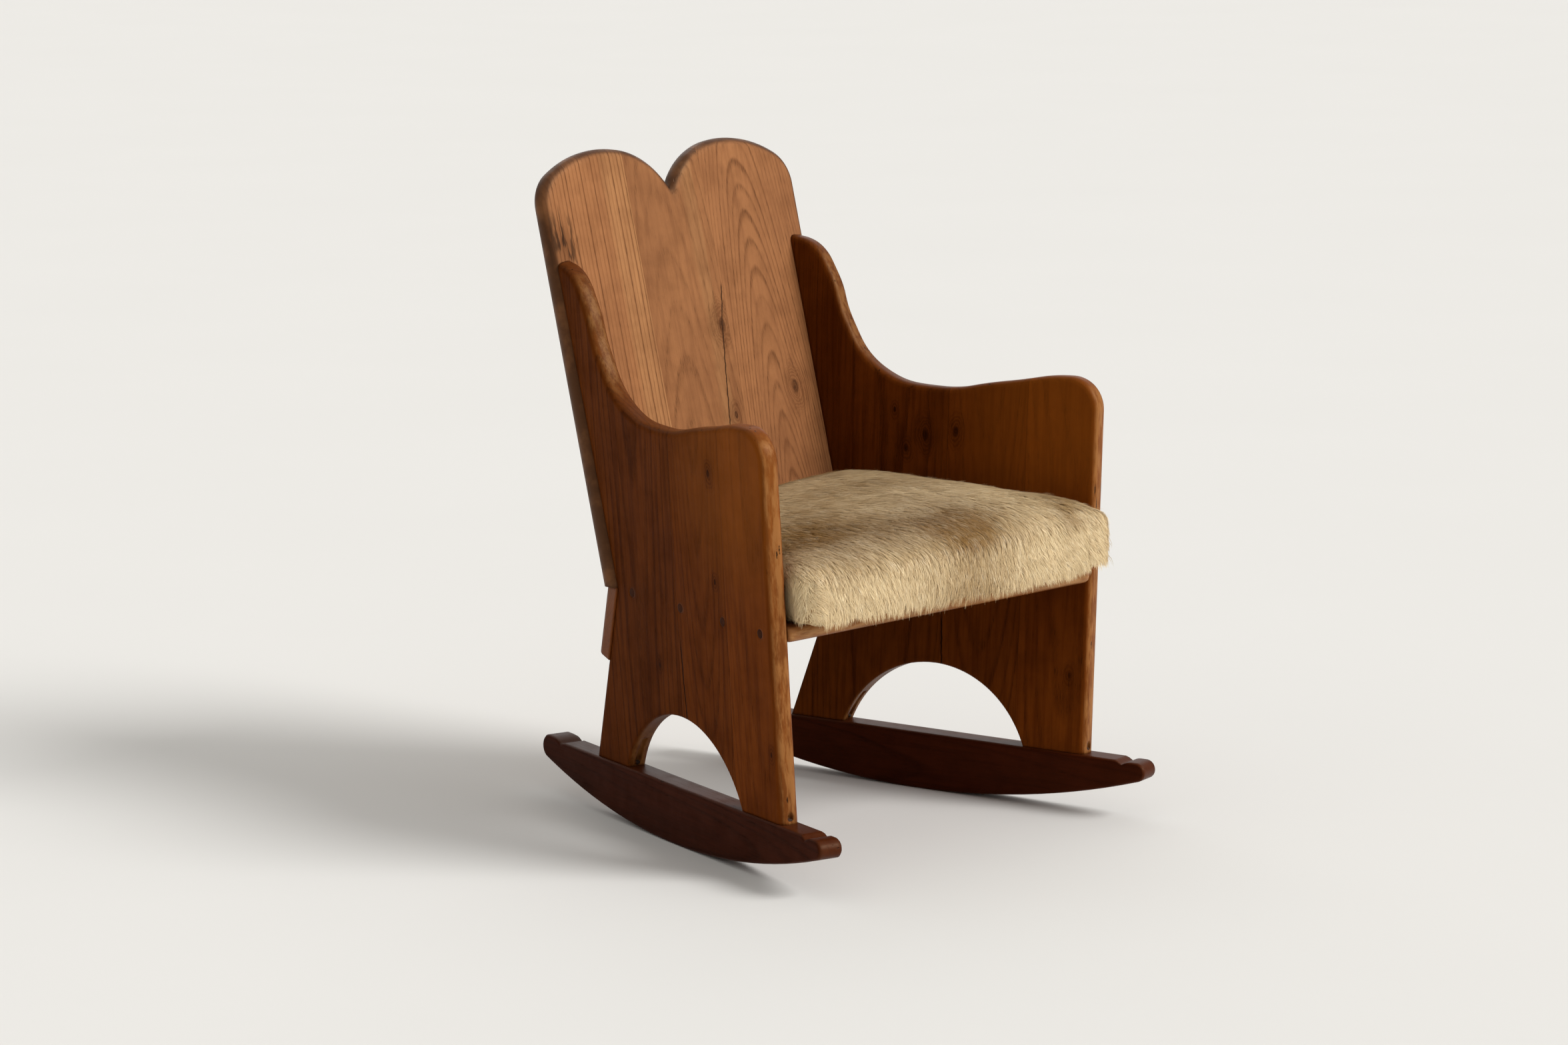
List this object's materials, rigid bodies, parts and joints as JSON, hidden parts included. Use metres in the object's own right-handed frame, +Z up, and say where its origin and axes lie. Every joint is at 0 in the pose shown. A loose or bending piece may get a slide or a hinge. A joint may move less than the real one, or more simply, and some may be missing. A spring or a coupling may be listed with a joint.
{
  "type": "plank-built rocking chair",
  "caption": "Rocking chair of glued planks with shaped arm panels, a lobed back board, curved rockers and a loose hide cushion.",
  "frame": {"origin": "on the floor, midway between the rockers and midway along them", "axes": "+Z up, -Y the way a sitter faces, +X to the right of someone facing the chair's front"},
  "size_m": [0.6518, 0.7028, 0.8967],
  "materials": {
    "side_wood": "satin",
    "rocker_wood": "satin",
    "back_wood": "satin",
    "seat_wood": "satin",
    "peg_wood": "satin",
    "nail_steel": "matte",
    "hide": "matte",
    "filling": "matte",
    "base_cloth": "matte"
  },
  "bodies": {
    "chair": {"left_side_rear_board": "side_wood", "left_side_middle_board": "side_wood", "left_side_front_board": "side_wood", "left_rocker": "rocker_wood", "left_seat_pegs": "peg_wood", "left_back_nails": "nail_steel", "left_rail_nails": "nail_steel", "left_foot_nails": "nail_steel", "right_side_rear_board": "side_wood", "right_side_middle_board": "side_wood", "right_side_front_board": "side_wood", "right_rocker": "rocker_wood", "right_seat_pegs": "peg_wood", "right_back_nails": "nail_steel", "right_rail_nails": "nail_steel", "right_foot_nails": "nail_steel", "back_left_board": "back_wood", "back_middle_board": "back_wood", "back_right_board": "back_wood", "lower_back_rail": "side_wood", "seat_front_board": "seat_wood", "seat_middle_board": "seat_wood", "seat_rear_board": "seat_wood"},
    "cushion": {"cushion_filling": "filling", "cushion_hide_cover": "hide", "cushion_base_cloth": "base_cloth"}
  },
  "joints": [
    {"name": "cushion_lift", "type": "slide", "parent": "chair", "child": "cushion", "axis": [0, 0, 1], "range_m": [0, 0.15]}
  ]
}
